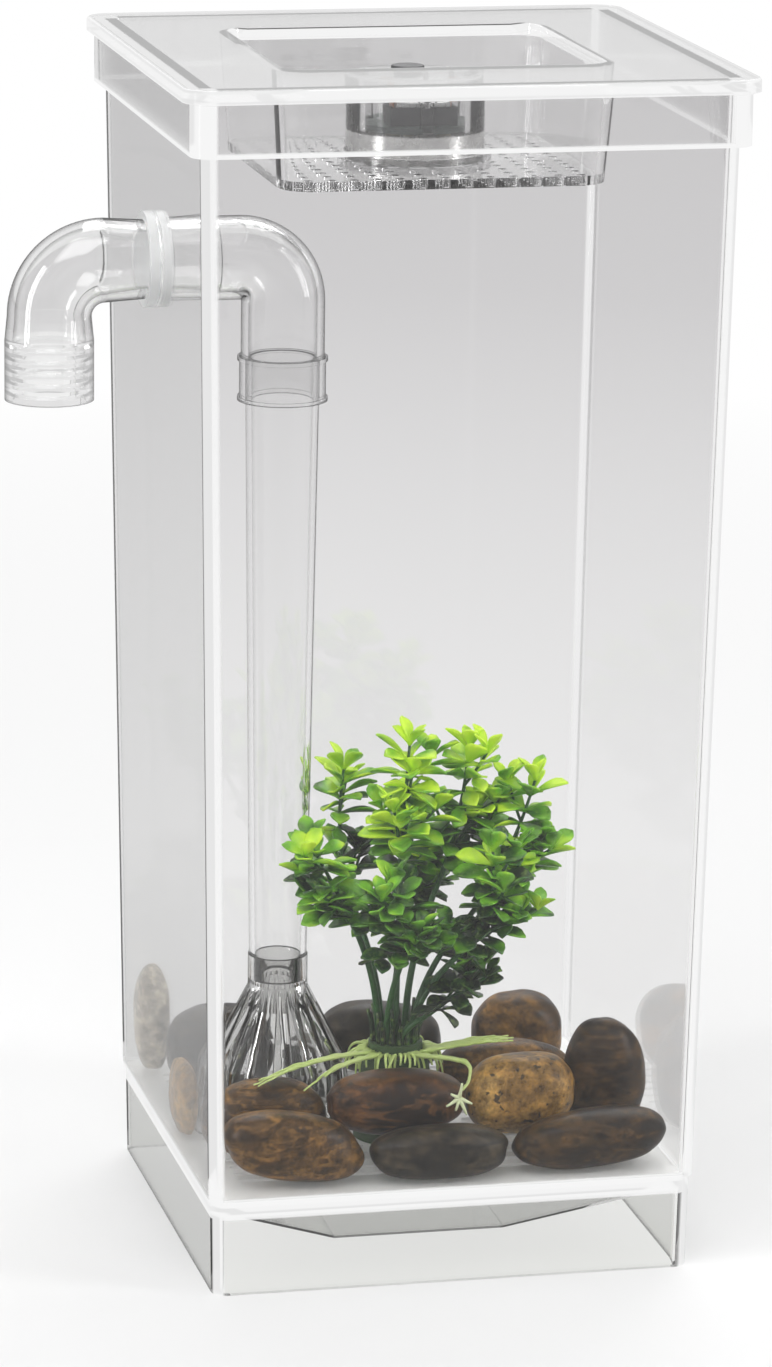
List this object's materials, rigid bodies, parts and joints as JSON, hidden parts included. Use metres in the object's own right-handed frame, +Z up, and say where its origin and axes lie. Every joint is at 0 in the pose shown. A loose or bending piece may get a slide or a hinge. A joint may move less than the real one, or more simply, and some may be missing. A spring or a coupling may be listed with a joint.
{
  "type": "fish tank",
  "caption": "Clear upright fish tank with a siphon spout through the left wall, a lid with a lamp in its well, a bed of stones and a plastic plant.",
  "frame": {"origin": "centre of the underside, on the surface the tank stands on", "axes": "+Z up, front faces -Y, the spout leaves the left wall towards -X"},
  "size_m": [0.1408, 0.115, 0.245],
  "materials": {
    "clear_acrylic": "gloss",
    "clear_pipe": "gloss",
    "frosted_silicone": "satin",
    "black_plastic": "matte",
    "board": "matte",
    "diode": "gloss",
    "cell_metal": "satin",
    "copper": "satin",
    "steel": "satin",
    "stone_brown": "satin",
    "stone_dark": "satin",
    "stone_grey": "satin",
    "stone_tan": "satin",
    "stone_pale": "satin",
    "leaf_green": "satin",
    "root_green": "satin",
    "base_green": "matte"
  },
  "bodies": {
    "tank": {"stone_front_left": "stone_brown", "stone_left": "stone_tan", "stone_left_thin": "stone_tan", "stone_back_left": "stone_grey", "stone_pale_upright": "stone_pale", "stone_dark_small": "stone_dark", "stone_back": "stone_dark", "stone_front_top": "stone_brown", "stone_front_dark": "stone_dark", "stone_speckled": "stone_tan", "stone_front_right": "stone_brown", "stone_right": "stone_brown", "stone_back_right": "stone_brown", "stone_middle": "stone_brown", "tank_shell": "clear_acrylic", "gravel_tray": "clear_acrylic", "wall_bushing": "frosted_silicone", "inner_elbow": "clear_pipe", "riser_tube": "clear_pipe", "strainer_foot": "clear_pipe"},
    "spout": {"spout": "clear_pipe"},
    "lid": {"lid": "clear_acrylic"},
    "lamp": {"lamp_body": "clear_acrylic", "lamp_cap": "clear_acrylic", "lamp_seal": "frosted_silicone", "cap_screws": "steel", "circuit_board": "board", "light_diodes": "diode", "lamp_switch": "black_plastic", "cell_holder": "black_plastic", "lamp_cells": "cell_metal", "cell_contacts": "copper"},
    "lamp_button": {"lamp_button": "black_plastic"},
    "plant": {"plant_base": "base_green", "root_strands": "root_green", "sprig_left": "leaf_green", "sprig_left_back": "leaf_green", "sprig_top": "leaf_green", "sprig_front": "leaf_green", "sprig_back": "leaf_green", "sprig_right_top": "leaf_green", "sprig_right": "leaf_green", "sprig_right_front": "leaf_green", "sprig_low": "leaf_green"}
  },
  "joints": [
    {"name": "lid_lift", "type": "slide", "parent": "tank", "child": "lid", "axis": [0, 0, 1], "range_m": [0, 0.06]},
    {"name": "lamp_lift", "type": "slide", "parent": "lid", "child": "lamp", "axis": [0, 0, 1], "range_m": [0, 0.04]},
    {"name": "button_press", "type": "slide", "parent": "lamp", "child": "lamp_button", "axis": [0, 0, -1], "range_m": [0, 0.001], "stiffness_N_per_m": 400},
    {"name": "spout_swivel", "type": "hinge", "parent": "tank", "child": "spout", "pos_m": [-0.0532, 0, 0.203], "axis": [1, 0, 0], "range_deg": [-90, 90]},
    {"name": "plant_lift", "type": "slide", "parent": "tank", "child": "plant", "axis": [0, 0, 1], "range_m": [0, 0.09]}
  ]
}
